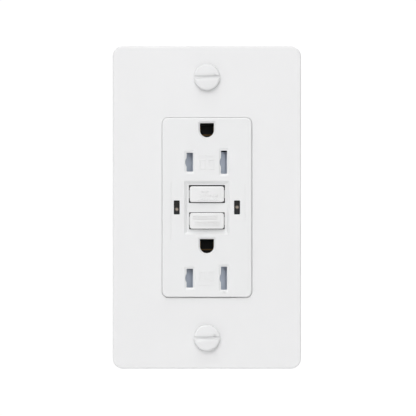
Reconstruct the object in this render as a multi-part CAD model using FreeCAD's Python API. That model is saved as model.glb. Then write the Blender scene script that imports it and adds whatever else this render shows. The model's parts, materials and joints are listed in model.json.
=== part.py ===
import FreeCAD, Part
import math
import os

from FreeCAD import Vector

# GFCI duplex outlet with its wall plate, in millimetres.
# X points right, Z points up, and the visible face looks along -Y.
# The wall's surface is the plane Y = 0; the body of the device goes into the wall, along +Y.

# Wall plate
PLATE_WIDTH = 70.0
PLATE_HEIGHT = 120.0
PLATE_CORNER = 3.8
PLATE_FRONT = -4.8
PLATE_WALL = 1.9
PLATE_RIM = 1.8
PLATE_EDGE = 0.6
PLATE_SCREW_Z = 96.84 / 2
PLATE_HOLE_R = 2.1

# Face of the device, the standard decorator size
FACE_WIDTH = 33.3
FACE_HEIGHT = 66.7
FACE_CORNER = 2.2
FACE_FRONT = -5.8
FACE_WALL = 2.0
FACE_SIDE_WALL = 1.8
FACE_END_WALL = 1.05
COVER_BOSS_R = 2.15
FACE_GAP = 0.15
OPENING_X = 0.04
OPENING_Z = -0.06
COVER_BASE_WIDTH = 41.5
COVER_BASE_HEIGHT = 68.5
COVER_BACK = 2.4

# Sockets, both with the ground hole on top
SOCKET_Z = {"upper": 16.8, "lower": -26.3}
GROUND_ABOVE_SLOTS = 11.9
SLOT_X = 12.7 / 2
NEUTRAL_SLOT_WIDTH = 2.25
HOT_SLOT_WIDTH = 2.4
HOT_SLOT_HEIGHT = 7.0
NEUTRAL_SLOT_HEIGHT = 8.6
SLOT_RIM = 0.8
SLOT_RIM_DEPTH = 0.25
SLOT_BEVEL = 0.45
SLOT_BEVEL_DEPTH = 0.15
SLOT_BUMP_HEIGHT = 3.2
SLOT_BUMP_DEPTH = 0.5
GROUND_WIDTH = 5.2
GROUND_HEIGHT = 5.25
GROUND_BEVEL = 0.65

# Buttons and their sunken pocket
POCKET_WIDTH = 16.8
POCKET_HEIGHT = 20.0
POCKET_Z = -0.1
POCKET_DEPTH = 1.0
POCKET_BEVEL = 1.1
POCKET_CORNER = 0.3
BUTTON_WIDTH = 12.8
BUTTON_HEIGHT = 5.9
BUTTON_GAP = {"test": 0.3, "reset": 0.2}
BUTTON_EXTRA_TOP_GAP = {"test": 0.15, "reset": 0.0}
BUTTON_CROWN_R = 40.0
BUTTON_EDGE = 0.4
BUTTON_Z = {"test": 4.9, "reset": -5.0}
BUTTON_FRONT = {"test": -6.2, "reset": -6.7}
BUTTON_CORNER = 0.9
BUTTON_HOLE_CORNER = 0.15
BUTTON_TAB_T = 1.0
BUTTON_TAB_REACH = 0.9
BUTTON_TAB_HALF_Z = 1.5
LED_X = 11.2
LED_WIDTH = 2.2
LED_HEIGHT = 5.2

# Mounting strap and its screws
STRAP_T = 1.2
STRAP_SEAT = 2.4
STRAP_HALF_WIDTH = 16.6
STRAP_BEND_Z = 34.8
EAR_HALF_WIDTH = 20.0
EAR_END_Z = 53.0
BOX_SCREW_Z = 83.34 / 2
SCREW_6_R = 1.75
THREAD_GAP = 0.04

# Rear housing
HOUSING_WIDTH = 42.0
HOUSING_HEIGHT = 69.0
HOUSING_FRONT = 2.5
HOUSING_BACK = 30.0
HOUSING_WALL = 1.8
BOSS_X = 14.3
BOSS_Z = 30.6
BOSS_R = 3.0
HOUSING_SCREW_R = 1.3

# Middle frame, circuit board and contacts
FRAME_BASE_FRONT = 11.8
FRAME_BASE_BACK = 13.4
FRAME_HALF_WIDTH = 14.6
FRAME_HALF_HEIGHT = 27.2
FRAME_END_HALF_WIDTH = 11.0
FRAME_END_Z = 32.2
SEAT_FRONT = 5.0
SEAT_BACK = 6.2
BOARD_FRONT = 14.6
BOARD_BACK = 16.2
BOARD_HALF_WIDTH = 13.6
LEAF_T = 0.5
LEAF_GAP = 1.1
LEAF_HALF_Z = 3.2
LEAF_FRONT = -0.2
BUS_FRONT = 10.6
BUS_T = 0.5
BUS_OUTER_X = 9.6

# Terminals, two on each side of the housing
TERMINAL_Z = {"line": 14.0, "load": -14.0}
TERMINAL_Y = 20.2
TERMINAL_X = 15.3
TERMINAL_T = 1.0
TERMINAL_HALF_Z = 5.4
TERMINAL_SCREW_R = 2.0
CLAMP_X = 16.8
CLAMP_T = 1.4
HEAD_X = 18.5
HEAD_T = 2.2
HEAD_R = 4.0
TUNNEL_HALF_Z = 5.8
TUNNEL_HALF_Y = 6.2

# Shutters
SHUTTER_FRONT = -3.6
SHUTTER_BACK = -1.3
SHUTTER_HALF_Z = 5.15
SHUTTER_WINDOW_HALF_Z = 4.5
SHUTTER_STEP_X = 0.65
SHUTTER_NOTCH = 0.45
TRAY_HALF_Z = 5.9

# Trip mechanism
PIN_R = 1.2
PIN_NECK_R = 0.9
PIN_END = 25.6
CARRIER_FRONT = 19.5
CARRIER_BACK = 23.4
BRIDGE_X = 15.1
BRIDGE_FRONT = 18.7
LATCH_FRONT = 23.5
LATCH_BACK = 24.3
LATCH_TRAVEL = 1.8
COIL_Y = 22.4
COIL_R = 5.0
COIL_LOW_Z = -28.5
COIL_HIGH_Z = -13.5
PLUNGER_R = 1.9

# Current transformer
TRANSFORMER_Z = 19.0
TRANSFORMER_R = 9.4
TRANSFORMER_BORE_R = 3.6


def box(x0, x1, y0, y1, z0, z1):
    """Block between two corners."""
    return Part.makeBox(x1 - x0, y1 - y0, z1 - z0, Vector(x0, y0, z0))


def rod_x(radius, x0, x1, y, z):
    return Part.makeCylinder(radius, x1 - x0, Vector(x0, y, z), Vector(1, 0, 0))


def rod_y(radius, y0, y1, x, z):
    return Part.makeCylinder(radius, y1 - y0, Vector(x, y0, z), Vector(0, 1, 0))


def rod_z(radius, z0, z1, x, y):
    return Part.makeCylinder(radius, z1 - z0, Vector(x, y, z0), Vector(0, 0, 1))


def join(*pieces):
    """One solid out of pieces that touch or overlap."""
    whole = pieces[0]
    for piece in pieces[1:]:
        whole = whole.fuse(piece)
    return whole.removeSplitter()


def group(pieces):
    """Separate solids kept in one sub-part."""
    return Part.makeCompound(list(pieces))


def mirror_x(shape):
    return shape.mirror(Vector(0, 0, 0), Vector(1, 0, 0))


def on_side(shape, side):
    """A shape drawn on the right, moved to the left when side is -1."""
    if side > 0:
        return shape
    return mirror_x(shape)


def rounded_wire(width, height, corner, y, x=0.0, z=0.0):
    """Closed outline of a rectangle with round corners, in a plane of constant Y."""
    half_w = width / 2
    half_h = height / 2
    bend = corner * (1 - math.sqrt(0.5))
    edges = []
    for turn in range(4):
        sx = 1 if turn in (0, 3) else -1
        sz = 1 if turn in (0, 1) else -1
        side = Vector(x + sx * half_w, y, z + sz * (half_h - corner))
        middle = Vector(x + sx * (half_w - bend), y, z + sz * (half_h - bend))
        end = Vector(x + sx * (half_w - corner), y, z + sz * half_h)
        if turn % 2:
            side, end = end, side
        if edges:
            edges.append(Part.makeLine(last, side))
        else:
            first = side
        edges.append(Part.Arc(side, middle, end).toShape())
        last = end
    edges.append(Part.makeLine(last, first))
    return Part.Wire(edges)


def rounded_block(width, height, corner, y0, y1, x=0.0, z=0.0):
    face = Part.Face(rounded_wire(width, height, corner, y0, x, z))
    return face.extrude(Vector(0, y1 - y0, 0))


def rounded_funnel(width, height, corner, y0, y1, spread, x=0.0, z=0.0):
    """Rounded block that is wider by spread on every side at y0 than at y1."""
    wide = rounded_wire(width + 2 * spread, height + 2 * spread, corner + spread, y0, x, z)
    narrow = rounded_wire(width, height, corner, y1, x, z)
    return Part.makeLoft([wide, narrow], True, True)


def edges_at(shape, y, tolerance=0.001):
    """Edges that lie in the plane of that Y."""
    chosen = []
    for edge in shape.Edges:
        limits = edge.BoundBox
        if abs(limits.YMin - y) < tolerance and abs(limits.YMax - y) < tolerance:
            chosen.append(edge)
    return chosen


def coil(radius, wire_r, turns, start, axis, length):
    """Compression spring of round wire from start along axis."""
    pitch = (length - 2 * wire_r) / turns
    helix = Part.makeLongHelix(pitch, pitch * turns, radius)
    section = Part.Wire(Part.makeCircle(wire_r, Vector(radius, 0, 0), Vector(0, 1, 0)))
    wire = Part.Wire(helix.Edges).makePipeShell([section], True, True)
    wire.rotate(Vector(0, 0, 0), *turn_from_z(axis))
    wire.translate(start + axis * wire_r)
    return wire


def turn_from_z(axis):
    """Rotation that takes +Z to the given row axis."""
    if abs(axis.z) > 0.5:
        return Vector(1, 0, 0), 0 if axis.z > 0 else 180
    if abs(axis.y) > 0.5:
        return Vector(1, 0, 0), -90 if axis.y > 0 else 90
    return Vector(0, 1, 0), 90 if axis.x > 0 else -90


def wall_plate():
    """Screwed-on plate with its opening for the decorator face."""
    outside = rounded_block(PLATE_WIDTH, PLATE_HEIGHT, PLATE_CORNER, PLATE_FRONT, 0)
    outside = outside.makeFillet(PLATE_EDGE, edges_at(outside, PLATE_FRONT))
    inside = rounded_block(PLATE_WIDTH - 2 * PLATE_RIM, PLATE_HEIGHT - 2 * PLATE_RIM,
                           PLATE_CORNER - PLATE_RIM, PLATE_FRONT + PLATE_WALL, 1)
    opening = rounded_block(FACE_WIDTH + 2 * FACE_GAP, FACE_HEIGHT + 2 * FACE_GAP,
                            FACE_CORNER + FACE_GAP, PLATE_FRONT - 1, 1, OPENING_X, OPENING_Z)
    lip = rounded_block(FACE_WIDTH + 2 * FACE_GAP + 2.4, FACE_HEIGHT + 2 * FACE_GAP + 2.4,
                        FACE_CORNER + FACE_GAP + 1.2, PLATE_FRONT + PLATE_WALL, -2.1,
                        OPENING_X, OPENING_Z)
    plate = outside.cut(inside).fuse(lip).cut(opening)
    for z in (-PLATE_SCREW_Z, PLATE_SCREW_Z):
        plate = plate.fuse(rod_y(3.0, PLATE_FRONT + PLATE_WALL, -1.9, 0, z))
        plate = plate.cut(rod_y(PLATE_HOLE_R, PLATE_FRONT - 1, 1, 0, z))
    return plate.removeSplitter()


def plate_screw(z):
    """6-32 screw with a large, slightly domed head and a shallow slot across it."""
    head_r = 4.85
    head_t = 2.5
    dome_r = 40.0
    slot_depth = 0.65
    slot_half = 0.5
    front = PLATE_FRONT - head_t
    head = rod_y(head_r, front, PLATE_FRONT, 0, z)
    head = head.common(Part.makeSphere(dome_r, Vector(0, front + dome_r, z)))
    rim = [edge for edge in head.Edges if edge.BoundBox.YMax < front + 1 and edge.BoundBox.XLength > 9]
    head = head.makeFillet(0.8, rim)
    slot = box(-head_r - 1, head_r + 1, front - 1, front + slot_depth, z - slot_half, z + slot_half)
    shank = rod_y(SCREW_6_R, PLATE_FRONT, 8.0, 0, z)
    shank = shank.makeChamfer(0.5, edges_at(shank, 8.0))
    return join(head.cut(slot), shank)


def ground_hole_z(name):
    """Height of the centre of the round part of a ground hole."""
    lift = GROUND_WIDTH / 2 - GROUND_HEIGHT / 2
    return SOCKET_Z[name] + GROUND_ABOVE_SLOTS + lift


def ground_outline(spread, y, z):
    """Hole with a flat top and a half-round foot."""
    r = GROUND_WIDTH / 2 + spread
    top = z + GROUND_HEIGHT - GROUND_WIDTH / 2 + spread
    corners = [Vector(r, y, z), Vector(r, y, top), Vector(-r, y, top), Vector(-r, y, z)]
    edges = [Part.makeLine(a, b) for a, b in zip(corners, corners[1:])]
    edges.append(Part.Arc(corners[3], Vector(0, y, z - r), corners[0]).toShape())
    return Part.Wire(edges)


def ground_hole(name):
    z = ground_hole_z(name)
    through = Part.Face(ground_outline(0, FACE_FRONT, z)).extrude(Vector(0, FACE_WALL + 1, 0))
    bevel = Part.makeLoft([ground_outline(GROUND_BEVEL, FACE_FRONT, z),
                           ground_outline(0, FACE_FRONT + GROUND_BEVEL, z)], True, True)
    return join(through, bevel)


def blade_slot(name, side):
    """Blade slot with a bevelled lead-in and a shallow relief on its left side."""
    z = SOCKET_Z[name]
    x = side * SLOT_X
    height = NEUTRAL_SLOT_HEIGHT if side > 0 else HOT_SLOT_HEIGHT
    width = NEUTRAL_SLOT_WIDTH if side > 0 else HOT_SLOT_WIDTH
    corner = 0.25
    through = rounded_block(width, height, corner, FACE_FRONT, FACE_FRONT + FACE_WALL + 1, x, z)
    step = FACE_FRONT + SLOT_RIM_DEPTH
    rim = rounded_funnel(width + 2 * SLOT_BEVEL, height + 2 * SLOT_BEVEL, corner, FACE_FRONT,
                         step, SLOT_RIM - SLOT_BEVEL, x, z)
    bevel = rounded_funnel(width, height, corner, step, step + SLOT_BEVEL_DEPTH, SLOT_BEVEL, x, z)
    half = SLOT_BUMP_HEIGHT / 2
    radius = (half * half + SLOT_BUMP_DEPTH * SLOT_BUMP_DEPTH) / (2 * SLOT_BUMP_DEPTH)
    left = x - width / 2 - SLOT_BUMP_DEPTH
    relief = rod_y(radius, FACE_FRONT, FACE_FRONT + FACE_WALL + 1, left + radius, z)
    relief = relief.common(box(left - 1, x, FACE_FRONT, 0, z - half - 1, z + half + 1))
    return join(through, rim, bevel, relief)


def button_pocket():
    """Sunken field around the buttons, with mitred sloping sides."""
    mouth = rounded_wire(POCKET_WIDTH, POCKET_HEIGHT, POCKET_CORNER, FACE_FRONT, 0, POCKET_Z)
    floor = rounded_wire(POCKET_WIDTH - 2 * POCKET_BEVEL, POCKET_HEIGHT - 2 * POCKET_BEVEL,
                         POCKET_CORNER, FACE_FRONT + POCKET_DEPTH, 0, POCKET_Z)
    return Part.makeLoft([mouth, floor], True, True)


def button_hole(name):
    """Hole through the pocket's floor, with a little more room above the test button."""
    gap = BUTTON_GAP[name]
    extra = BUTTON_EXTRA_TOP_GAP[name]
    return rounded_block(BUTTON_WIDTH + 2 * gap, BUTTON_HEIGHT + 2 * gap + extra, BUTTON_HOLE_CORNER,
                         FACE_FRONT, 0, 0, BUTTON_Z[name] + extra / 2)


def face_cover():
    """Front moulding: raised face, wider base behind it, and everything cut through the face."""
    insert = rounded_block(FACE_WIDTH, FACE_HEIGHT, FACE_CORNER, FACE_FRONT, COVER_BACK)
    insert = insert.makeFillet(0.5, edges_at(insert, FACE_FRONT))
    base = rounded_block(COVER_BASE_WIDTH, COVER_BASE_HEIGHT, 2.5, 0, COVER_BACK)
    cavity = rounded_block(FACE_WIDTH - 2 * FACE_SIDE_WALL, FACE_HEIGHT - 2 * FACE_END_WALL, 1.0,
                           FACE_FRONT + FACE_WALL, COVER_BACK + 1)
    cover = insert.fuse(base).cut(cavity)
    for x in (-BOSS_X, BOSS_X):
        for z in (-BOSS_Z, BOSS_Z):
            cover = cover.fuse(rod_y(COVER_BOSS_R, FACE_FRONT + FACE_WALL, COVER_BACK, x, z))
            cover = cover.cut(rod_y(HOUSING_SCREW_R + 0.02, -2.4, COVER_BACK + 1, x, z))
    for name in SOCKET_Z:
        cover = cover.cut(ground_hole(name))
        for side in (-1, 1):
            cover = cover.cut(blade_slot(name, side))
    cover = cover.cut(button_pocket())
    for name in BUTTON_Z:
        cover = cover.cut(button_hole(name))
    for x in (-LED_X, LED_X):
        cover = cover.cut(rounded_block(LED_WIDTH, LED_HEIGHT, 0.3, FACE_FRONT - 1, 0, x))
    return cover.removeSplitter()


def button_cap(name):
    """Crowned button with two tabs that keep it behind the face, and the Y of its back."""
    z = BUTTON_Z[name]
    front = BUTTON_FRONT[name]
    behind = FACE_FRONT + FACE_WALL + 0.1
    back = behind + BUTTON_TAB_T
    cap = rounded_block(BUTTON_WIDTH, BUTTON_HEIGHT, BUTTON_CORNER, front, back, 0, z)
    cap = cap.common(rod_z(BUTTON_CROWN_R, z - 10, z + 10, 0, front + BUTTON_CROWN_R))
    rim = [edge for edge in cap.Edges if edge.BoundBox.YMax < front + 1.0]
    cap = cap.makeFillet(BUTTON_EDGE, rim)
    reach = BUTTON_WIDTH / 2 + BUTTON_TAB_REACH
    tabs = box(-reach, reach, behind, back, z - BUTTON_TAB_HALF_Z, z + BUTTON_TAB_HALF_Z)
    return join(cap, tabs), back


def test_button():
    cap, back = button_cap("test")
    stem = box(-1.2, 1.2, back, 10.4, BUTTON_Z["test"] - 0.8, BUTTON_Z["test"] + 0.8)
    return join(cap, stem)


def reset_button():
    cap, back = button_cap("reset")
    socket = rod_y(2.0, back, back + 1.6, 0, BUTTON_Z["reset"])
    bore = rod_y(PIN_R + 0.02, back - 0.6, back + 3, 0, BUTTON_Z["reset"])
    return join(cap, socket).cut(bore)


def reset_pin():
    """Steel pin with a neck for the latch plate near its end."""
    z = BUTTON_Z["reset"]
    start = FACE_FRONT + FACE_WALL + 0.1 + BUTTON_TAB_T - 0.5
    shaft = rod_y(PIN_R, start, LATCH_FRONT - 0.1, 0, z)
    neck = rod_y(PIN_NECK_R, LATCH_FRONT - 0.1, LATCH_BACK + 0.1, 0, z)
    tip = rod_y(PIN_R + 0.3, LATCH_BACK + 0.1, PIN_END, 0, z)
    tip = tip.makeChamfer(0.6, edges_at(tip, PIN_END))
    return join(shaft, neck, tip)


def light_pipe(x):
    """Smoked window that carries the lamp's light to the face."""
    front = FACE_FRONT + 0.15
    window = rounded_block(LED_WIDTH - 0.06, LED_HEIGHT - 0.06, 0.28, front, -3.7, x)
    foot = rounded_block(LED_WIDTH + 0.7, LED_HEIGHT + 1.4, 0.3, -3.7, 0.4, x)
    return join(window, foot)


def strap_ear(sign):
    """One end of the strap: the step up to the wall surface and the slotted ear."""
    neck = box(-12.0, 12.0, -STRAP_T, 0, STRAP_BEND_Z, 42.0)
    ear = rounded_block(2 * EAR_HALF_WIDTH, EAR_END_Z - 40.0, 2.0, -STRAP_T, 0, 0,
                        (EAR_END_Z + 40.0) / 2)
    riser = box(-12.0, 12.0, -STRAP_T, STRAP_SEAT + STRAP_T, STRAP_BEND_Z, STRAP_BEND_Z + STRAP_T)
    ear = join(neck, ear, riser)
    ear = ear.cut(rounded_block(7.0, 4.0, 1.99, -3, 1, 0, BOX_SCREW_Z))
    ear = ear.cut(rod_y(SCREW_6_R + THREAD_GAP, -3, 1, 0, PLATE_SCREW_Z))
    for x in (-15.0, 15.0):
        ear = ear.cut(rod_y(2.2, -3, 1, x, 46.5))
        ear = ear.cut(box(x * 0.81 - 0.35, x * 0.81 + 0.35, -3, 1, 49.5, EAR_END_Z + 1))
    if sign < 0:
        ear = ear.mirror(Vector(0, 0, 0), Vector(0, 0, 1))
    return ear


def ground_tab():
    """Tab bent back from the lower ear, with the thread for the ground screw."""
    tab = box(-13.2, -12.0, -STRAP_T, 12.5, -46.2, -37.0)
    return tab.cut(rod_x(TERMINAL_SCREW_R + THREAD_GAP, -16, -10, 7.0, -41.6))


def mounting_strap():
    ladder = box(-STRAP_HALF_WIDTH, STRAP_HALF_WIDTH, STRAP_SEAT, STRAP_SEAT + STRAP_T,
                 -STRAP_BEND_Z - STRAP_T, STRAP_BEND_Z + STRAP_T)
    for name in SOCKET_Z:
        z = SOCKET_Z[name]
        for x in (-SLOT_X, SLOT_X):
            ladder = ladder.cut(box(x - 2.6, x + 2.6, 2, 4, z - 5.2, z + 5.2))
        ladder = ladder.cut(rod_y(3.6, 2, 4, 0, ground_hole_z(name)))
        for x in (-5.4, 5.4):
            ladder = ladder.cut(rod_y(0.8, 2, 4, x, ground_hole_z(name)))
    ladder = ladder.cut(box(-13.2, 13.2, 2, 4, -8.9, 9.5))
    for x in (-BOSS_X, BOSS_X):
        for z in (-BOSS_Z, BOSS_Z):
            ladder = ladder.cut(rod_y(HOUSING_SCREW_R + 0.3, 2, 4, x, z))
    return join(ladder, strap_ear(1), strap_ear(-1), ground_tab())


def box_screw(z):
    """Long 6-32 screw that fastens the strap to the wall box."""
    head = rod_y(3.4, -2.7, -STRAP_T, 0, z)
    head = head.makeFillet(0.5, edges_at(head, -2.7))
    head = head.cut(box(-4, 4, -3.5, -2.0, z - 0.5, z + 0.5))
    neck = rod_y(1.45, -STRAP_T, 1.2, 0, z)
    thread = rod_y(SCREW_6_R, 1.2, 25.0, 0, z)
    thread = thread.makeChamfer(0.5, edges_at(thread, 25.0))
    return join(head, neck, thread)


def screw_retainer(z):
    """Fibre washer that keeps a box screw from falling out of its slot."""
    return rounded_block(9.0, 7.0, 0.6, 0.02, 0.7, 0, z).cut(rod_y(1.5, -1, 2, 0, z))


def terminal_tunnel(name, side):
    """Walls of the recess around a terminal screw."""
    z = TERMINAL_Z[name]
    outer = box(TERMINAL_X + TERMINAL_T + 0.1, HOUSING_WIDTH / 2, TERMINAL_Y - TUNNEL_HALF_Y - 1.0,
                TERMINAL_Y + TUNNEL_HALF_Y + 1.6, z - TUNNEL_HALF_Z - 1.0, z + TUNNEL_HALF_Z + 1.0)
    return on_side(outer, side)


def terminal_recess(name, side):
    z = TERMINAL_Z[name]
    hole = box(TERMINAL_X, HOUSING_WIDTH / 2 + 1, TERMINAL_Y - TUNNEL_HALF_Y,
               TERMINAL_Y + TUNNEL_HALF_Y, z - TUNNEL_HALF_Z, z + TUNNEL_HALF_Z)
    return on_side(hole, side)


def wire_holes(name, side):
    """Two back-wire entries beside a terminal screw, each with a funnel mouth."""
    z = TERMINAL_Z[name]
    entries = []
    for step in (-3.7, 3.7):
        hole = rod_y(1.35, TERMINAL_Y, HOUSING_BACK + 1, CLAMP_X + 0.9, z + step)
        mouth = Part.makeCone(1.35, 2.1, 1.0, Vector(CLAMP_X + 0.9, HOUSING_BACK - 1.0, z + step),
                              Vector(0, 1, 0))
        entries.append(on_side(join(hole, mouth), side))
    return entries


def rear_housing():
    outside = rounded_block(HOUSING_WIDTH, HOUSING_HEIGHT, 2.5, HOUSING_FRONT, HOUSING_BACK)
    outside = outside.makeFillet(1.2, edges_at(outside, HOUSING_BACK))
    inside = rounded_block(HOUSING_WIDTH - 2 * HOUSING_WALL, HOUSING_HEIGHT - 2 * HOUSING_WALL, 1.5,
                           HOUSING_FRONT - 1, HOUSING_BACK - HOUSING_WALL)
    shell = outside.cut(inside)
    strap_back = STRAP_SEAT + STRAP_T
    for x in (-BOSS_X, BOSS_X):
        for z in (-BOSS_Z, BOSS_Z):
            shell = shell.fuse(rod_y(BOSS_R, strap_back + 0.1, HOUSING_BACK - 0.5, x, z))
    for name in TERMINAL_Z:
        for side in (-1, 1):
            shell = shell.fuse(terminal_tunnel(name, side))
            shell = shell.cut(terminal_recess(name, side))
            for entry in wire_holes(name, side):
                shell = shell.cut(entry)
    for x in (-BOSS_X, BOSS_X):
        for z in (-BOSS_Z, BOSS_Z):
            shell = shell.cut(rod_y(HOUSING_SCREW_R + 0.3, 2, HOUSING_BACK + 1, x, z))
            shell = shell.cut(rod_y(2.5, HOUSING_BACK - 2.6, HOUSING_BACK + 1, x, z))
    shell = shell.cut(box(-STRAP_HALF_WIDTH - 0.2, STRAP_HALF_WIDTH + 0.2, 2, strap_back + 0.1,
                          -36, 36))
    shell = shell.cut(rounded_block(20.0, 24.0, 1.0, HOUSING_BACK - 0.4, HOUSING_BACK + 1, 0, 2.0))
    return shell.removeSplitter()


def housing_screw(x, z):
    """Self-tapping screw from the back of the housing into the cover."""
    head_y = HOUSING_BACK - 2.6
    head = rod_y(2.3, head_y, head_y + 1.8, x, z)
    head = head.makeFillet(0.5, edges_at(head, head_y + 1.8))
    for turn in (0, 90):
        bar = box(x - 1.4, x + 1.4, head_y + 1.0, head_y + 3, z - 0.3, z + 0.3)
        bar.rotate(Vector(x, 0, z), Vector(0, 1, 0), turn)
        head = head.cut(bar)
    return join(head, rod_y(HOUSING_SCREW_R, -2.2, head_y, x, z))


def shutter_ramp(x, z):
    """Space above a ramp: the blade rides down it, pushes the shutter left and drops off its step."""
    half = SHUTTER_WINDOW_HALF_Z
    front = SHUTTER_FRONT - 0.1
    deep = SHUTTER_BACK - 0.5
    top, foot = (x - 1.35, deep - 0.5) if x > 0 else (x - 1.9, deep - 0.2)
    corners = [Vector(top, front, z - half), Vector(x + SHUTTER_STEP_X, foot, z - half),
               Vector(x + SHUTTER_STEP_X + 0.1, deep, z - half), Vector(x + 4.3, deep, z - half),
               Vector(x + 4.3, front, z - half)]
    outline = Part.Wire(Part.makePolygon(corners + corners[:1]))
    return Part.Face(outline).extrude(Vector(0, 0, 2 * half))


def shutter(name):
    """Sliding guard behind the blade slots, with a ramp and a window for each blade."""
    z = SOCKET_Z[name]
    plate = rounded_block(20.4, 2 * SHUTTER_HALF_Z, 0.5, SHUTTER_FRONT, SHUTTER_BACK, 1.4, z)
    for x in (-SLOT_X, SLOT_X):
        plate = plate.cut(shutter_ramp(x, z))
        plate = plate.cut(box(x + 1.45, x + 4.35, SHUTTER_FRONT - 1, SHUTTER_BACK + 1,
                              z - SHUTTER_WINDOW_HALF_Z, z + SHUTTER_WINDOW_HALF_Z))
    if name == "upper":
        top = z + NEUTRAL_SLOT_HEIGHT / 2
        plate = plate.cut(box(SLOT_X - 1.3, SLOT_X + 1.5, SHUTTER_FRONT - 1, SHUTTER_BACK + 1,
                              top - SHUTTER_NOTCH, z + SHUTTER_WINDOW_HALF_Z))
    return plate


def shutter_tray(name):
    """Guide that carries a shutter, with a window for each blade."""
    z = SOCKET_Z[name]
    half_x = 14.7
    rail = SHUTTER_HALF_Z + 0.15
    tray = box(-half_x, half_x, SHUTTER_FRONT - 0.1, SHUTTER_BACK + 0.9, z - TRAY_HALF_Z,
               z + TRAY_HALF_Z)
    tray = tray.cut(box(-half_x - 1, half_x + 1, SHUTTER_FRONT - 1, SHUTTER_BACK + 0.1, z - rail,
                        z + rail))
    for x in (-SLOT_X, SLOT_X):
        tray = tray.cut(box(x - 1.4, x + 1.4, -4, 1, z - 4.6, z + 4.6))
    for x in (-BOSS_X, BOSS_X):
        tray = tray.cut(rod_y(COVER_BOSS_R + 0.3, -4, 1, x, -BOSS_Z))
    return tray.removeSplitter()


def shutter_spring(name):
    start = Vector(-14.65, (SHUTTER_FRONT + SHUTTER_BACK) / 2, SOCKET_Z[name])
    return coil(0.85, 0.14, 7, start, Vector(1, 0, 0), 5.8)


def blade_contact(name):
    """Pair of spring leaves that grip one blade, joined at the back."""
    z = SOCKET_Z[name]
    inner = LEAF_GAP / 2
    leaves = []
    for side in (-1, 1):
        leaf = box(inner, inner + LEAF_T, LEAF_FRONT + 1.2, BUS_FRONT + BUS_T, z - LEAF_HALF_Z,
                   z + LEAF_HALF_Z)
        flare_points = [Vector(inner, LEAF_FRONT + 1.2, z - LEAF_HALF_Z),
                        Vector(inner + LEAF_T, LEAF_FRONT + 1.2, z - LEAF_HALF_Z),
                        Vector(inner + LEAF_T + 0.5, LEAF_FRONT, z - LEAF_HALF_Z),
                        Vector(inner + 0.5, LEAF_FRONT, z - LEAF_HALF_Z)]
        flare = Part.Face(Part.Wire(Part.makePolygon(flare_points + flare_points[:1])))
        leaf = leaf.fuse(flare.extrude(Vector(0, 0, 2 * LEAF_HALF_Z)))
        leaf = on_side(leaf, side)
        leaf.translate(Vector(SLOT_X, 0, 0))
        leaves.append(leaf)
    base = box(SLOT_X - inner, BUS_OUTER_X, BUS_FRONT, BUS_FRONT + BUS_T, z - LEAF_HALF_Z,
               z + LEAF_HALF_Z)
    return join(leaves[0], leaves[1], base)


def terminal_plate(name):
    """Side plate threaded for its screw, with the tab that carries a fixed contact."""
    z = TERMINAL_Z[name]
    sign = 1 if z > 0 else -1
    plate = box(TERMINAL_X, TERMINAL_X + TERMINAL_T, 14.2, 26.2, z - TERMINAL_HALF_Z,
                z + TERMINAL_HALF_Z)
    near = sorted((sign * 2.6, z - sign * TERMINAL_HALF_Z + sign * 0.5))
    tab = box(BRIDGE_X - 1.2, TERMINAL_X + TERMINAL_T, BOARD_BACK, BOARD_BACK + 0.8, near[0], near[1])
    plate = join(plate, tab)
    return plate.cut(rod_x(TERMINAL_SCREW_R + THREAD_GAP, 10, 20, TERMINAL_Y, z))


def bus(side):
    """Load-side conductor: both blade contacts, the strip between them and a terminal."""
    low = SOCKET_Z["lower"] - LEAF_HALF_Z
    high = SOCKET_Z["upper"] + LEAF_HALF_Z
    strip = box(SLOT_X + 1.25, BUS_OUTER_X, BUS_FRONT, BUS_FRONT + BUS_T, low, high)
    load_z = TERMINAL_Z["load"]
    branch = box(BUS_OUTER_X - 1, TERMINAL_X + TERMINAL_T, BUS_FRONT, BUS_FRONT + BUS_T,
                 load_z - 2.6, load_z + 2.6)
    riser = box(TERMINAL_X, TERMINAL_X + TERMINAL_T, BUS_FRONT, 15.0, load_z - 2.6, load_z + 2.6)
    whole = join(strip, blade_contact("upper"), blade_contact("lower"), branch, riser,
                 terminal_plate("load"))
    return on_side(whole, side)


def line_terminal(side):
    """Line-side conductor: its terminal, a fixed contact tab and a foot on the board."""
    z = TERMINAL_Z["line"]
    foot = box(BOARD_HALF_WIDTH - 1.2, TERMINAL_X + 0.5, BOARD_BACK, BOARD_BACK + 0.8, z - 2.0, z + 2.0)
    return on_side(join(terminal_plate("line"), foot), side)


def wire_clamp(name, side):
    """Square pressure plate under a terminal screw's head."""
    z = TERMINAL_Z[name]
    plate = box(CLAMP_X, CLAMP_X + CLAMP_T, TERMINAL_Y - 5.2, TERMINAL_Y + 5.2, z - 5.0, z + 5.0)
    plate = plate.cut(rod_x(TERMINAL_SCREW_R + 0.3, 15, 20, TERMINAL_Y, z))
    for step in (-3.7, 3.7):
        plate = plate.cut(rod_y(0.9, TERMINAL_Y - 7, TERMINAL_Y + 7, CLAMP_X - 0.5, z + step))
    return on_side(plate, side)


def slotted_screw(head_x, shank_end, y, z):
    """Pan-head screw along X with a combination slot, head on the right."""
    head = rod_x(HEAD_R, head_x, head_x + HEAD_T, y, z)
    rim = [edge for edge in head.Edges if abs(edge.BoundBox.XMin - head_x - HEAD_T) < 0.001]
    head = head.makeFillet(0.6, rim)
    head = head.cut(box(head_x + 1.1, head_x + 3, y - 5, y + 5, z - 0.55, z + 0.55))
    head = head.cut(box(head_x + 1.1, head_x + 3, y - 0.55, y + 0.55, z - 2.4, z + 2.4))
    return join(head, rod_x(TERMINAL_SCREW_R, shank_end, head_x, y, z))


def terminal_screw(name, side):
    return on_side(slotted_screw(HEAD_X, 10.8, TERMINAL_Y, TERMINAL_Z[name]), side)


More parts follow.
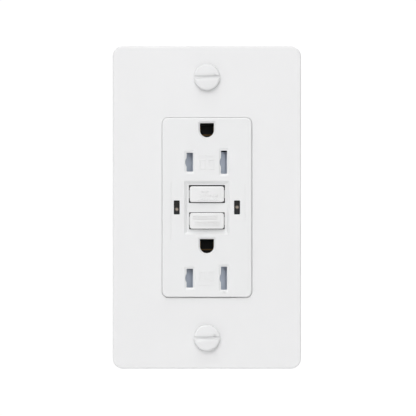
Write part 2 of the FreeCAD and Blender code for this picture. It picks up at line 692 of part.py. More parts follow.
def ground_clamp():
    """Cup washer under the ground screw's head, left of the strap's tab."""
    cup = box(-15.4, -14.2, 2.6, 11.4, -46.0, -37.2)
    return cup.cut(rod_x(TERMINAL_SCREW_R + 0.3, -20, -10, 7.0, -41.6))


def ground_screw():
    return mirror_x(slotted_screw(15.7, 5.6, 7.0, -41.6))


def ground_contact(name):
    """Two leaves that grip the ground pin, on feet riveted to the strap, joined below the pin."""
    z = ground_hole_z(name)
    inner = 2.3
    foot_y = STRAP_SEAT + STRAP_T
    leaves = []
    for side in (-1, 1):
        leaf = box(inner, inner + LEAF_T, foot_y, 10.6, z - 1.7, z + 1.7)
        leaf = leaf.fuse(box(inner, 6.6, foot_y, foot_y + LEAF_T, z - 1.7, z + 1.7))
        leaf = leaf.cut(rod_y(0.8, 3, 5, 5.4, z))
        leaves.append(on_side(leaf, side))
    bridge = box(-inner - LEAF_T, inner + LEAF_T, 10.6, 11.1, z - 1.7, z - 1.2)
    return join(leaves[0], leaves[1], bridge)


def ground_rivet(x, z):
    foot_y = STRAP_SEAT + STRAP_T + LEAF_T
    body = rod_y(0.78, STRAP_SEAT - 0.5, foot_y + 0.4, x, z)
    front = rod_y(1.3, STRAP_SEAT - 0.5, STRAP_SEAT, x, z)
    back = rod_y(1.2, foot_y, foot_y + 0.4, x, z)
    return join(body, front, back)


def spring_seat():
    """Bridge of the middle frame that the button springs stand on."""
    seat = box(-7.2, 7.2, SEAT_FRONT, SEAT_BACK, -9.2, 9.2)
    for x in (-7.2, 6.2):
        seat = seat.fuse(box(x, x + 1.0, SEAT_FRONT, FRAME_BASE_FRONT, -9.2, 9.2))
    seat = seat.cut(rod_y(PIN_R + 0.25, 4, 8, 0, BUTTON_Z["reset"]))
    z = BUTTON_Z["test"]
    return seat.cut(box(-1.5, 1.5, 4, 8, z - 1.1, z + 1.1))


def middle_frame():
    """Insulating frame between the strap and the board that holds the contacts."""
    wall = 1.2
    front = STRAP_SEAT + STRAP_T + 0.4
    frame = box(-FRAME_HALF_WIDTH, FRAME_HALF_WIDTH, front, FRAME_BASE_BACK,
                -FRAME_HALF_HEIGHT, FRAME_HALF_HEIGHT)
    frame = frame.fuse(box(-FRAME_END_HALF_WIDTH, FRAME_END_HALF_WIDTH, front, FRAME_BASE_BACK,
                           -FRAME_END_Z, FRAME_END_Z))
    hollow = box(wall - FRAME_HALF_WIDTH, FRAME_HALF_WIDTH - wall, 0, FRAME_BASE_FRONT,
                 wall - FRAME_HALF_HEIGHT, FRAME_HALF_HEIGHT - wall)
    hollow = hollow.fuse(box(wall - FRAME_END_HALF_WIDTH, FRAME_END_HALF_WIDTH - wall, 0,
                             FRAME_BASE_FRONT, wall - FRAME_END_Z, FRAME_END_Z - wall))
    frame = frame.cut(hollow)
    frame = frame.cut(box(-6.2, 6.2, 11, 14, -9.2, 9.2))
    load_z = TERMINAL_Z["load"]
    for x in (-FRAME_HALF_WIDTH, FRAME_HALF_WIDTH):
        frame = frame.cut(box(x - 2, x + 2, BUS_FRONT - 0.3, FRAME_BASE_FRONT, load_z - 3, load_z + 3))
        frame = frame.cut(rod_y(1.0, 11, 14, math.copysign(LED_X, x), 0))
    for z in (12.0, 22.6, -20.6, -31.0):
        frame = frame.fuse(box(-3.6, 3.6, front + 1.5, FRAME_BASE_FRONT, z - 0.5, z + 0.5))
    return frame.fuse(spring_seat()).removeSplitter()


def circuit_board():
    board = box(-BOARD_HALF_WIDTH, BOARD_HALF_WIDTH, BOARD_FRONT, BOARD_BACK,
                -FRAME_HALF_HEIGHT + 0.2, FRAME_HALF_HEIGHT - 0.2)
    board = board.cut(rod_y(PIN_R + 0.5, 14, 17, 0, BUTTON_Z["reset"]))
    for x in (-1.7, 1.7):
        board = board.cut(box(x - 0.9, x + 0.9, 14, 17, TRANSFORMER_Z - 0.6, TRANSFORMER_Z + 0.6))
    for x in (-BOARD_HALF_WIDTH, BOARD_HALF_WIDTH):
        board = board.cut(rod_y(1.2, 14, 17, x, 23.5))
    return board


def ring(outer, inner, y0, y1):
    return rod_y(outer, y0, y1, 0, TRANSFORMER_Z).cut(rod_y(inner, y0 - 1, y1 + 1, 0, TRANSFORMER_Z))


def transformer_shell():
    """Round plastic case of the two current transformers."""
    case = ring(TRANSFORMER_R, TRANSFORMER_BORE_R, BOARD_BACK + 0.1, 27.0)
    for front in (17.3, 22.3):
        case = case.cut(ring(TRANSFORMER_R - 0.8, TRANSFORMER_BORE_R + 0.8, front, front + 3.9))
    return case


def transformer_core(front):
    return ring(TRANSFORMER_R - 1.0, TRANSFORMER_BORE_R + 1.0, front + 0.1, front + 3.7)


def line_conductor(x):
    """Bar that carries one line conductor through the transformers."""
    return box(x - 0.8, x + 0.8, BOARD_FRONT, 27.6, TRANSFORMER_Z - 0.5, TRANSFORMER_Z + 0.5)


def solenoid_bobbin():
    flange_t = 0.8
    core = rod_z(2.7, COIL_LOW_Z + 0.8, COIL_HIGH_Z - 0.8, 0, COIL_Y)
    low = rod_z(COIL_R + 0.3, COIL_LOW_Z + 0.8, COIL_LOW_Z + 0.8 + flange_t, 0, COIL_Y)
    high = rod_z(COIL_R + 0.3, COIL_HIGH_Z - 0.8 - flange_t, COIL_HIGH_Z - 0.8, 0, COIL_Y)
    return join(core, low, high).cut(rod_z(PLUNGER_R + 0.1, -40, 0, 0, COIL_Y))


def solenoid_coil():
    low = COIL_LOW_Z + 1.65
    high = COIL_HIGH_Z - 1.65
    return rod_z(COIL_R, low, high, 0, COIL_Y).cut(rod_z(2.75, -40, 0, 0, COIL_Y))


def solenoid_frame():
    """Steel yoke around the coil, open at both sides."""
    half = 5.6
    outer = box(-half, half, BOARD_BACK + 0.1, 28.0, COIL_LOW_Z, COIL_HIGH_Z)
    hollow = box(-half - 1, half + 1, BOARD_BACK + 0.8, 30, COIL_LOW_Z + 0.75, COIL_HIGH_Z - 0.75)
    return outer.cut(hollow).cut(rod_z(PLUNGER_R + 0.2, -40, 0, 0, COIL_Y))


def plunger():
    tail = COIL_LOW_Z - 3.2
    rod = rod_z(PLUNGER_R, tail, -11.6, 0, COIL_Y)
    return join(rod, rod_z(3.2, tail, tail + 0.6, 0, COIL_Y))


def plunger_spring():
    return coil(2.5, 0.2, 3, Vector(0, COIL_Y, COIL_LOW_Z - 2.55), Vector(0, 0, 1), 2.5)


def latch_plate():
    """Keyhole plate that holds the reset pin, with a tab for the plunger."""
    z = BUTTON_Z["reset"]
    plate = box(-3.4, 3.4, LATCH_FRONT, LATCH_BACK, z - 5.8, z + 5.2)
    tab = box(-2.6, 2.6, 19.8, LATCH_BACK, z - 6.5, z - 5.7)
    plate = join(plate, tab)
    wide = rod_y(PIN_R + 0.5, 23, 25, 0, z - LATCH_TRAVEL)
    narrow_r = PIN_NECK_R + 0.12
    slot = join(rod_y(narrow_r, 23, 25, 0, z), box(-narrow_r, narrow_r, 23, 25, z - LATCH_TRAVEL, z))
    return plate.cut(wide).cut(slot)


def latch_spring():
    start = Vector(0, (LATCH_FRONT + LATCH_BACK) / 2, BUTTON_Z["reset"] + 5.25)
    return coil(0.8, 0.14, 5, start, Vector(0, 0, 1), 4.5)


def contact_carrier():
    """Plastic slider that holds the two contact bridges and the latch plate."""
    z = BUTTON_Z["reset"]
    block = box(-5.0, 5.0, CARRIER_FRONT, CARRIER_BACK, z - 2.4, z + 4.5)
    beam = box(-BRIDGE_X - 1.2, BRIDGE_X + 1.2, CARRIER_FRONT, CARRIER_BACK - 1.2, z - 2.4, z + 3.0)
    carrier = join(block, beam)
    for x in (-BRIDGE_X, BRIDGE_X):
        carrier = carrier.fuse(box(x - 1.2, x + 1.2, CARRIER_FRONT, CARRIER_BACK - 1.2, -6.4, 6.4))
    post = box(-1.6, 1.6, CARRIER_FRONT, LATCH_BACK + 0.6, z + 9.85, z + 10.8)
    neck = box(-1.6, 1.6, CARRIER_FRONT, CARRIER_FRONT + 2.0, z + 4.4, z + 10.8)
    carrier = carrier.fuse(post).fuse(neck)
    return carrier.cut(rod_y(PIN_R + 0.1, 19, 25, 0, z)).removeSplitter()


def contact_bridge(side):
    strip = box(BRIDGE_X - 1.2, BRIDGE_X + 1.2, BRIDGE_FRONT, CARRIER_FRONT, -6.4, 6.4)
    return on_side(strip, side)


def contact_point(x, z, back, depth):
    return rod_y(0.95, back - depth, back, x, z)


def reset_spring():
    start = Vector(0, FACE_FRONT + FACE_WALL + 0.15 + BUTTON_TAB_T, BUTTON_Z["reset"])
    return coil(2.35, 0.2, 5, start, Vector(0, 1, 0), SEAT_FRONT - 0.05 - start.y)


def test_spring():
    start = Vector(0, FACE_FRONT + FACE_WALL + 0.15 + BUTTON_TAB_T, BUTTON_Z["test"])
    return coil(2.0, 0.18, 5, start, Vector(0, 1, 0), SEAT_FRONT - 0.05 - start.y)


def test_blade():
    """Brass strip on the board that the test button's stem reaches when pressed."""
    z = BUTTON_Z["test"]
    top = 12.1
    reach = box(-1.6, 4.6, top, top + 0.4, z - 1.0, z + 1.0)
    leg = box(4.2, 4.6, top, BOARD_FRONT, z - 1.0, z + 1.0)
    return join(reach, leg)


def indicator_led(x):
    """Small rectangular lamp on two long leads."""
    body = rounded_block(1.8, 3.8, 0.3, 0.6, 3.6, x, 0)
    leads = [rod_y(0.22, 3.6, BOARD_FRONT, x, z) for z in (-0.6, 0.6)]
    return join(body, leads[0], leads[1])


def varistor():
    disc = rod_x(4.2, -12.4, -9.2, 21.4, -23.0)
    disc = disc.makeFillet(0.9, disc.Edges)
    legs = [rod_y(0.35, BOARD_BACK, 18.2, -10.8, z) for z in (-25.0, -21.0)]
    return join(disc, legs[0], legs[1])


def capacitor(x, z, radius, length):
    can = rod_y(radius, BOARD_BACK + 0.05, BOARD_BACK + length, x, z)
    return can.makeFillet(0.5, edges_at(can, BOARD_BACK + length))


def controller_chip():
    """Control circuit in a flat case with eight feet."""
    case = box(-3.0, 3.0, BOARD_BACK + 0.3, BOARD_BACK + 1.9, 2.4, 7.4)
    feet = []
    for x in (-2.1, -0.7, 0.7, 2.1):
        feet.append(box(x - 0.2, x + 0.2, BOARD_BACK, BOARD_BACK + 0.9, 1.6, 8.2))
    return join(case, *feet)


def sub_parts():
    """Every sub-part by name."""
    parts = {
        "wall_plate": wall_plate(),
        "upper_plate_screw": plate_screw(PLATE_SCREW_Z),
        "lower_plate_screw": plate_screw(-PLATE_SCREW_Z),
        "face_cover": face_cover(),
        "test_button": test_button(),
        "reset_button": reset_button(),
        "reset_pin": reset_pin(),
        "left_light_pipe": light_pipe(-LED_X),
        "right_light_pipe": light_pipe(LED_X),
        "mounting_strap": mounting_strap(),
        "box_screws": group(box_screw(z) for z in (-BOX_SCREW_Z, BOX_SCREW_Z)),
        "screw_retainers": group(screw_retainer(z) for z in (-BOX_SCREW_Z, BOX_SCREW_Z)),
        "rear_housing": rear_housing(),
        "housing_screws": group(housing_screw(x, z) for x in (-BOSS_X, BOSS_X)
                                for z in (-BOSS_Z, BOSS_Z)),
        "middle_frame": middle_frame(),
        "hot_bus": bus(-1),
        "neutral_bus": bus(1),
        "hot_line_terminal": line_terminal(-1),
        "neutral_line_terminal": line_terminal(1),
        "ground_rivets": group(ground_rivet(x, ground_hole_z(name)) for x in (-5.4, 5.4)
                               for name in SOCKET_Z),
        "ground_clamp": ground_clamp(),
        "ground_screw": ground_screw(),
        "circuit_board": circuit_board(),
        "transformer_shell": transformer_shell(),
        "transformer_cores": group(transformer_core(front) for front in (17.3, 22.3)),
        "line_conductors": group(line_conductor(x) for x in (-1.7, 1.7)),
        "solenoid_bobbin": solenoid_bobbin(),
        "solenoid_coil": solenoid_coil(),
        "solenoid_frame": solenoid_frame(),
        "plunger": plunger(),
        "plunger_spring": plunger_spring(),
        "latch_plate": latch_plate(),
        "latch_spring": latch_spring(),
        "contact_carrier": contact_carrier(),
        "contact_bridges": group(contact_bridge(side) for side in (-1, 1)),
        "moving_contacts": group(contact_point(x, z, BRIDGE_FRONT, 0.8)
                                 for x in (-BRIDGE_X, BRIDGE_X) for z in (-4.5, 4.5)),
        "fixed_contacts": group(contact_point(x, z, BOARD_BACK + 1.6, 0.8)
                                for x in (-BRIDGE_X, BRIDGE_X) for z in (-4.5, 4.5)),
        "reset_spring": reset_spring(),
        "test_spring": test_spring(),
        "test_blade": test_blade(),
        "indicator_leds": group(indicator_led(x) for x in (-LED_X, LED_X)),
        "varistor": varistor(),
        "capacitors": group((capacitor(9.6, -25.0, 2.9, 9.5), capacitor(9.6, -10.6, 2.0, 2.6))),
        "controller_chip": controller_chip(),
    }
    for name in SOCKET_Z:
        parts[name + "_shutter"] = shutter(name)
        parts[name + "_shutter_tray"] = shutter_tray(name)
        parts[name + "_shutter_spring"] = shutter_spring(name)
        parts[name + "_ground_contact"] = ground_contact(name)
    for row in TERMINAL_Z:
        for side, pole in ((-1, "hot"), (1, "neutral")):
            parts[pole + "_" + row + "_clamp"] = wire_clamp(row, side)
            parts[pole + "_" + row + "_screw"] = terminal_screw(row, side)
    return parts


os.makedirs("parts", exist_ok=True)
for node, shape in sub_parts().items():
    shape.exportStep(os.path.join("parts", node + ".step"))
    print(node, len(shape.Solids), round(shape.Volume, 2), shape.isValid())
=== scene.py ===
import json
import math
import random

import bmesh
import bpy
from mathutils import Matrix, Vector


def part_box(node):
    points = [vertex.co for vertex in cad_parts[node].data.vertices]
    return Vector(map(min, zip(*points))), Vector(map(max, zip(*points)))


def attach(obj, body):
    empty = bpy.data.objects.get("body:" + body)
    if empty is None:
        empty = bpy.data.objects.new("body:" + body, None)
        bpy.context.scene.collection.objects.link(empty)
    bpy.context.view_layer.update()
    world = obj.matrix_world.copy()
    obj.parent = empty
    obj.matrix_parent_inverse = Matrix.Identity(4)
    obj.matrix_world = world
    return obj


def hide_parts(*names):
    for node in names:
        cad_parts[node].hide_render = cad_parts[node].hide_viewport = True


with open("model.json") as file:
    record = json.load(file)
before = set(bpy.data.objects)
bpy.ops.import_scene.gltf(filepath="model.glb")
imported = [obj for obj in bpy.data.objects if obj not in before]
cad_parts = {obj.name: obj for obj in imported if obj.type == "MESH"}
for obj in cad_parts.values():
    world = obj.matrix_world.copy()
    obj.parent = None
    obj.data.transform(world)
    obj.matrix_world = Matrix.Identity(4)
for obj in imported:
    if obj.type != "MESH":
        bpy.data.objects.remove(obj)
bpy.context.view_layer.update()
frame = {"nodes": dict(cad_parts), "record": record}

MM = 0.001
NODES = frame["nodes"]
MARK_SEED = 7


# ---------------------------------------------------------------- material building blocks

class Look:
    """A procedural material: one Principled shader and the nodes that vary it over the surface."""

    def __init__(self, name, roughness, metallic=0.0, specular=0.5):
        self.material = bpy.data.materials.new(name)
        self.material.use_nodes = True
        self.tree = self.material.node_tree
        self.shader = self.tree.nodes["Principled BSDF"]
        self.shader.inputs["Roughness"].default_value = roughness
        self.shader.inputs["Metallic"].default_value = metallic
        self.shader.inputs["Specular IOR Level"].default_value = specular
        self.place = self.node("ShaderNodeTexCoord").outputs["Object"]
        self.normal = None

    def node(self, kind, **settings):
        made = self.tree.nodes.new(kind)
        for key, value in settings.items():
            setattr(made, key, value)
        return made

    def link(self, source, target):
        self.tree.links.new(source, target)

    def stretched(self, stretch):
        """Object coordinates scaled per axis, so that a pattern runs along one direction."""
        mapping = self.node("ShaderNodeMapping")
        mapping.inputs["Scale"].default_value = stretch
        self.link(self.place, mapping.inputs["Vector"])
        return mapping.outputs["Vector"]

    def noise(self, size, detail=4.0, stretch=(1, 1, 1)):
        """Soft noise whose features are about size metres across."""
        texture = self.node("ShaderNodeTexNoise")
        texture.inputs["Scale"].default_value = 1 / size
        texture.inputs["Detail"].default_value = detail
        self.link(self.stretched(stretch), texture.inputs["Vector"])
        return texture.outputs["Fac"]

    def cell_edges(self, size, stretch):
        """Distance to the nearest border between cells about size metres across."""
        texture = self.node("ShaderNodeTexVoronoi", feature="DISTANCE_TO_EDGE")
        texture.inputs["Scale"].default_value = 1 / size
        self.link(self.stretched(stretch), texture.inputs["Vector"])
        return texture.outputs["Distance"]

    def cell_tint(self, size):
        """Random grey value of each cell, for crystals in a plated surface."""
        texture = self.node("ShaderNodeTexVoronoi")
        texture.inputs["Scale"].default_value = 1 / size
        self.link(self.place, texture.inputs["Vector"])
        grey = self.node("ShaderNodeSeparateColor")
        self.link(texture.outputs["Color"], grey.inputs["Color"])
        return grey.outputs["Red"]

    def spread(self, value, low, high, start=0.3, end=0.7):
        """Maps a texture value from start..end to low..high."""
        mapped = self.node("ShaderNodeMapRange")
        mapped.inputs["From Min"].default_value = start
        mapped.inputs["From Max"].default_value = end
        mapped.inputs["To Min"].default_value = low
        mapped.inputs["To Max"].default_value = high
        self.link(value, mapped.inputs["Value"])
        return mapped.outputs["Result"]

    def maths(self, operation, first, second=None):
        """Math node on one or two values, each a number or another node's output."""
        made = self.node("ShaderNodeMath", operation=operation)
        for socket, value in zip(made.inputs, (first, second)):
            if value is None:
                continue
            if isinstance(value, (int, float)):
                socket.default_value = value
            else:
                self.link(value, socket)
        return made.outputs["Value"]

    def blend(self, factor, first, second):
        """Colour that goes from first to second as factor goes from 0 to 1."""
        mix = self.node("ShaderNodeMix", data_type="RGBA")
        self.link(factor, mix.inputs["Factor"])
        for socket, value in ((mix.inputs["A"], first), (mix.inputs["B"], second)):
            if isinstance(value, tuple):
                socket.default_value = (*value, 1.0)
            else:
                self.link(value, socket)
        return mix.outputs["Result"]

    def colour(self, value):
        self.link(value, self.shader.inputs["Base Color"])

    def rough(self, value):
        self.link(value, self.shader.inputs["Roughness"])

    def bump(self, height, depth):
        """Adds relief of about depth metres on top of the relief made so far."""
        made = self.node("ShaderNodeBump")
        made.inputs["Strength"].default_value = 1.0
        made.inputs["Distance"].default_value = depth
        self.link(height, made.inputs["Height"])
        if self.normal is not None:
            self.link(self.normal, made.inputs["Normal"])
        self.normal = made.outputs["Normal"]
        self.link(self.normal, self.shader.inputs["Normal"])

    def soft_edges(self, radius):
        """Rounds sharp edges in the shading, as a mould or a tumbler does."""
        made = self.node("ShaderNodeBevel", samples=6)
        made.inputs["Radius"].default_value = radius
        self.normal = made.outputs["Normal"]
        self.link(self.normal, self.shader.inputs["Normal"])

    def axes(self):
        """Object coordinates X, Y and Z, each as an output of its own."""
        split = self.node("ShaderNodeSeparateXYZ")
        self.link(self.place, split.inputs["Vector"])
        return split.outputs["X"], split.outputs["Y"], split.outputs["Z"]


# Sizes and depths of the patterns that all plastics or all metals share.
FLOW_SIZE = 11.0 * MM
GLOSS_PATCH = 4.0 * MM
WAVE_SIZE = 6.0 * MM
WAVE_DEPTH = 0.02 * MM
STAIN_SIZE = 3.5 * MM
SCRATCH_SIZE = 0.25 * MM
SCRATCH_DEPTH = 0.006 * MM
METAL_EDGE = 0.08 * MM


def plastic(name, colour, roughness, grain=0.12 * MM, grain_depth=0.004 * MM, edge=0.12 * MM,
            mottle=0.012, specular=0.5):
    """Moulded plastic: fine mould grain, faint flow mottling and slightly uneven gloss."""
    look = Look(name, roughness, specular=specular)
    darker = tuple(channel * (1 - mottle) for channel in colour)
    lighter = tuple(min(1.0, channel * (1 + mottle)) for channel in colour)
    look.colour(look.blend(look.noise(FLOW_SIZE, 3.0, (1, 1, 0.6)), darker, lighter))
    look.rough(look.spread(look.noise(GLOSS_PATCH), roughness - 0.05, roughness + 0.06))
    look.soft_edges(edge)
    look.bump(look.noise(grain, 2.0), grain_depth)
    look.bump(look.noise(WAVE_SIZE, 2.0, (1, 1, 0.5)), WAVE_DEPTH)
    return look


def metal(name, colour, roughness, crystals=0.0, tarnish=0.08):
    """Metal with drawn or rolled grain, uneven tarnish and, if plated, faint crystals."""
    look = Look(name, roughness, metallic=1.0)
    dark = tuple(channel * (1 - tarnish * 2) for channel in colour)
    stain = look.spread(look.noise(STAIN_SIZE, 5.0), 0.0, 1.0)
    base = look.blend(stain, dark, colour)
    if crystals:
        shade = look.spread(look.cell_tint(crystals), 0.0, 0.35, 0.0, 1.0)
        base = look.blend(shade, base, tuple(channel * 0.72 for channel in colour))
    look.colour(base)
    grain = look.noise(SCRATCH_SIZE, 3.0, (1, 1, 12))
    look.rough(look.spread(grain, roughness - 0.07, roughness + 0.10))
    look.soft_edges(METAL_EDGE)
    look.bump(grain, SCRATCH_DEPTH)
    return look


# ---------------------------------------------------------------- materials, one per record slot

def plate_plastic():
    return plastic("plate_plastic", (0.84, 0.84, 0.845), 0.34, edge=0.18 * MM)


def face_plastic():
    return plastic("face_plastic", (0.825, 0.828, 0.832), 0.38, grain=0.16 * MM,
                   edge=0.10 * MM)


def button_plastic():
    return plastic("button_plastic", (0.832, 0.832, 0.834), 0.34, edge=0.08 * MM)


def painted_screw():
    """White enamel over steel, rounded where it runs thick at the edges."""
    return plastic("painted_screw", (0.815, 0.817, 0.822), 0.5, edge=0.14 * MM,
                   mottle=0.008)


LAMP_X = 11.2 * MM
LEFT_LAMP_Z = -0.72 * MM
RIGHT_LAMP_Z = 0.05 * MM
LAMP_CORE = 0.25 * MM
LAMP_GLOW = 1.05 * MM


def smoked_window():
    """Smoked window over a lamp: nearly black, with painted shade that makes it darker towards the
    top and lighter and bluer towards the bottom, and the pale lamp showing dimly behind it.
    """
    look = Look("smoked_window", 0.2, specular=0.25)
    x, _, z = look.axes()
    right = look.maths("GREATER_THAN", x, 0.0)
    lamp_z = look.spread(right, LEFT_LAMP_Z, RIGHT_LAMP_Z, 0.0, 1.0)
    off_x = look.maths("SUBTRACT", look.maths("ABSOLUTE", x), LAMP_X)
    off_z = look.maths("SUBTRACT", z, lamp_z)
    squares = look.maths("ADD", look.maths("POWER", off_x, 2.0), look.maths("POWER", off_z, 2.0))
    uneven = look.maths("MULTIPLY", look.noise(0.9 * MM), 0.5 * MM)
    reach = look.maths("ADD", look.maths("SQRT", squares), uneven)
    lamp = look.spread(reach, 1.0, 0.0, LAMP_CORE, LAMP_GLOW)
    # Painted shade: the window is darker near its top and lighter and bluer near its bottom.
    shade_ramp = look.spread(z, 1.0, 0.0, -2.4 * MM, 0.6 * MM)
    shaded_smoke = look.blend(shade_ramp, (0.0085, 0.0085, 0.008), (0.022, 0.026, 0.033))
    haze = look.blend(look.noise(0.6 * MM), shaded_smoke, (0.030, 0.029, 0.026))
    look.colour(look.blend(lamp, haze, (0.42, 0.35, 0.29)))
    look.soft_edges(0.1 * MM)
    look.bump(look.noise(1.5 * MM, 2.0), 0.01 * MM)
    return look


def shutter_plastic():
    return plastic("shutter_plastic", (0.51, 0.56, 0.645), 0.42, mottle=0.05)


def housing_plastic():
    return plastic("housing_plastic", (0.74, 0.735, 0.71), 0.5, grain=0.3 * MM,
                   grain_depth=0.01 * MM, edge=0.25 * MM, mottle=0.03)


def inner_plastic():
    return plastic("inner_plastic", (0.028, 0.028, 0.03), 0.45, mottle=0.2)


def zinc_steel():
    return metal("zinc_steel", (0.66, 0.67, 0.68), 0.34, crystals=1.6 * MM)


def spring_steel():
    return metal("spring_steel", (0.50, 0.50, 0.51), 0.3)


def brass_metal():
    return metal("brass_metal", (0.78, 0.54, 0.22), 0.3, tarnish=0.14)


def shaded_bronze():
    """Strip metal of the ground contacts, which shows at the bottom of their holes, darkened as
    painted shade of those deep holes.
    """
    return metal("shaded_bronze", (0.30, 0.20, 0.10), 0.42, tarnish=0.2)


def nickel_brass():
    return metal("nickel_brass", (0.74, 0.72, 0.68), 0.26)


def brass_screw():
    return metal("brass_screw", (0.80, 0.58, 0.25), 0.27, tarnish=0.12)


def ground_green():
    return metal("ground_green", (0.05, 0.36, 0.13), 0.3, tarnish=0.2)


def silver_contact():
    return metal("silver_contact", (0.82, 0.82, 0.80), 0.35)


def copper_winding():
    """Close turns of enamelled wire round the bobbin."""
    look = metal("copper_winding", (0.66, 0.27, 0.13), 0.28, tarnish=0.1)
    turn = look.maths("PINGPONG", look.maths("DIVIDE", look.axes()[2], 0.2 * MM), 0.5)
    look.bump(turn, 0.08 * MM)
    return look


def ferrite_core():
    return plastic("ferrite_core", (0.05, 0.05, 0.055), 0.55, grain=0.2 * MM, mottle=0.25)


def board_laminate():
    """Green board with copper tracks showing faintly under the solder mask."""
    look = plastic("board_laminate", (0.03, 0.17, 0.07), 0.35, mottle=0.1)
    tracks = look.spread(look.cell_edges(4.5 * MM, (1, 0.01, 1)), 1.0, 0.0, 0.08, 0.12)
    look.colour(look.blend(tracks, (0.02, 0.14, 0.055), (0.06, 0.27, 0.11)))
    look.bump(tracks, 0.03 * MM)
    return look


def fibre_washer():
    return plastic("fibre_washer", (0.50, 0.36, 0.22), 0.75, grain=0.4 * MM,
                   grain_depth=0.03 * MM, mottle=0.2, specular=0.2)


def lamp_plastic():
    return plastic("lamp_plastic", (0.74, 0.72, 0.62), 0.25)


def varistor_blue():
    return plastic("varistor_blue", (0.03, 0.11, 0.40), 0.22, mottle=0.15)


def capacitor_sleeve():
    return plastic("capacitor_sleeve", (0.02, 0.02, 0.028), 0.25, mottle=0.3)


def chip_case():
    return plastic("chip_case", (0.025, 0.025, 0.025), 0.6, grain=0.2 * MM, mottle=0.2)


MAKERS = (plate_plastic, face_plastic, button_plastic, painted_screw, smoked_window,
          shutter_plastic, housing_plastic, inner_plastic, zinc_steel, spring_steel, brass_metal,
          nickel_brass, brass_screw, ground_green, silver_contact, copper_winding, ferrite_core,
          board_laminate, fibre_washer, lamp_plastic, varistor_blue, capacitor_sleeve, chip_case)
MATERIALS = {maker.__name__: maker().material for maker in MAKERS}


def paint_cad_nodes():
    """Gives every CAD node the material of its slot in the record, the ground contacts a bronze
    darkened as painted shade.
    """
    bronze = shaded_bronze().material
    for entry in frame["record"]["subparts"]:
        node = NODES[entry["node"]]
        contact = entry["node"].endswith("ground_contact")
        material = bronze if contact else MATERIALS[entry["material_slot"]]
        node.data.materials.clear()
        node.data.materials.append(material)


# ---------------------------------------------------------------- raised marks, in millimetres

BAR_ROOT = 0.03
STROKE = 0.3
BLOCK_STEP = 1.55
BUTTON_CROWN = 40.0
TEST_HEIGHT = 0.32
RESET_HEIGHT = 0.2
FACE_HEIGHT = 0.1
# Rows on the buttons: from x, to x and height above the middle, and for blocks how tall they are.
TEST_ROWS = ((-2.6, 0.8, 1.05), (-2.6, 4.2, -0.45), (-3.3, 4.8, -1.9))
RESET_ROWS = ((-5.2, 4.2, 1.25, 1.4), (-4.4, 5.0, -1.0, 1.5))
# Marks by the sockets: height of their middle, and 1 or -1 for the side that their dashes are on.
SOCKET_MARKS = ((16.8, 1), (-26.3, -1))
# Upright dashes along the face's edges: x, from z, to z.
EDGE_DASHES = ((-13.6, -12.0, 9.0), (14.0, -5.0, 8.0))


def finish_piece(name, mesh, slot, body):
    """Turns a bmesh into a piece that rides on a body and wears a slot's material."""
    data = bpy.data.meshes.new(name)
    bmesh.ops.recalc_face_normals(mesh, faces=mesh.faces)
    mesh.to_mesh(data)
    mesh.free()
    piece = bpy.data.objects.new(name, data)
    bpy.context.scene.collection.objects.link(piece)
    data.materials.append(MATERIALS[slot])
    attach(piece, body)
    return piece


def raised_bar(mesh, u0, u1, v0, v1, surface, height):
    """Small closed bar with sloped sides, height proud of a surface given as place(u, v, lift)."""
    slope = 0.35 * height
    rings = []
    for inset, lift in ((0.0, -BAR_ROOT), (0.0, 0.3 * height), (slope, height)):
        corners = ((u0 + inset, v0 + inset), (u1 - inset, v0 + inset),
                   (u1 - inset, v1 - inset), (u0 + inset, v1 - inset))
        rings.append([mesh.verts.new(Vector(surface(u, v, lift)) * MM) for u, v in corners])
    for low, high in zip(rings, rings[1:]):
        for i in range(4):
            j = (i + 1) % 4
            mesh.faces.new((low[i], low[j], high[j], high[i]))
    mesh.faces.new(rings[-1])
    mesh.faces.new(rings[0][::-1])


def dash_row(mesh, generator, u0, u1, v, tall, surface, height):
    """Row of short dashes of uneven length from u0 to u1."""
    u = u0
    while u < u1 - 0.3:
        length = min(generator.uniform(0.45, 1.0), u1 - u)
        raised_bar(mesh, u, u + length, v - tall / 2, v + tall / 2, surface, height)
        u += length + generator.uniform(0.25, 0.4)


def frame_mark(mesh, u0, u1, v0, v1, stroke, surface, height):
    """Hollow rectangle of four bars."""
    raised_bar(mesh, u0, u1, v1 - stroke, v1, surface, height)
    raised_bar(mesh, u0, u1, v0, v0 + stroke, surface, height)
    raised_bar(mesh, u0, u0 + stroke, v0 + stroke, v1 - stroke, surface, height)
    raised_bar(mesh, u1 - stroke, u1, v0 + stroke, v1 - stroke, surface, height)


def block_row(mesh, u0, u1, v, tall, surface, height):
    """Row of hollow rectangles and upright bars, one after the other."""
    u = u0
    while u + BLOCK_STEP < u1 + 0.01:
        low, high = v - tall / 2, v + tall / 2
        frame_mark(mesh, u, u + 0.95, low, high, STROKE, surface, height)
        raised_bar(mesh, u + 1.15, u + 1.4, low, high, surface, height)
        u += BLOCK_STEP


def button_face(name):
    """A button's crowned front as place(x, z, lift), and the height of its middle."""
    low, high = (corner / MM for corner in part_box(name))

    def surface(x, z, lift):
        return x, low.y + BUTTON_CROWN - math.sqrt(BUTTON_CROWN ** 2 - x ** 2) - lift, z

    return surface, (low.z + high.z) / 2


def test_marks():
    """Three rows of fine dashes on the test button."""
    surface, middle = button_face("test_button")
    mesh = bmesh.new()
    generator = random.Random(MARK_SEED)
    for x0, x1, z in TEST_ROWS:
        dash_row(mesh, generator, x0, x1, middle + z, 0.65, surface, TEST_HEIGHT)
    finish_piece("test_button_marks", mesh, "button_plastic", "test_button")


def reset_marks():
    """Two rows of hollow blocks on the reset button."""
    surface, middle = button_face("reset_button")
    mesh = bmesh.new()
    for x0, x1, z, tall in RESET_ROWS:
        block_row(mesh, x0, x1, middle + z, tall, surface, RESET_HEIGHT)
    finish_piece("reset_button_marks", mesh, "button_plastic", "reset_button")


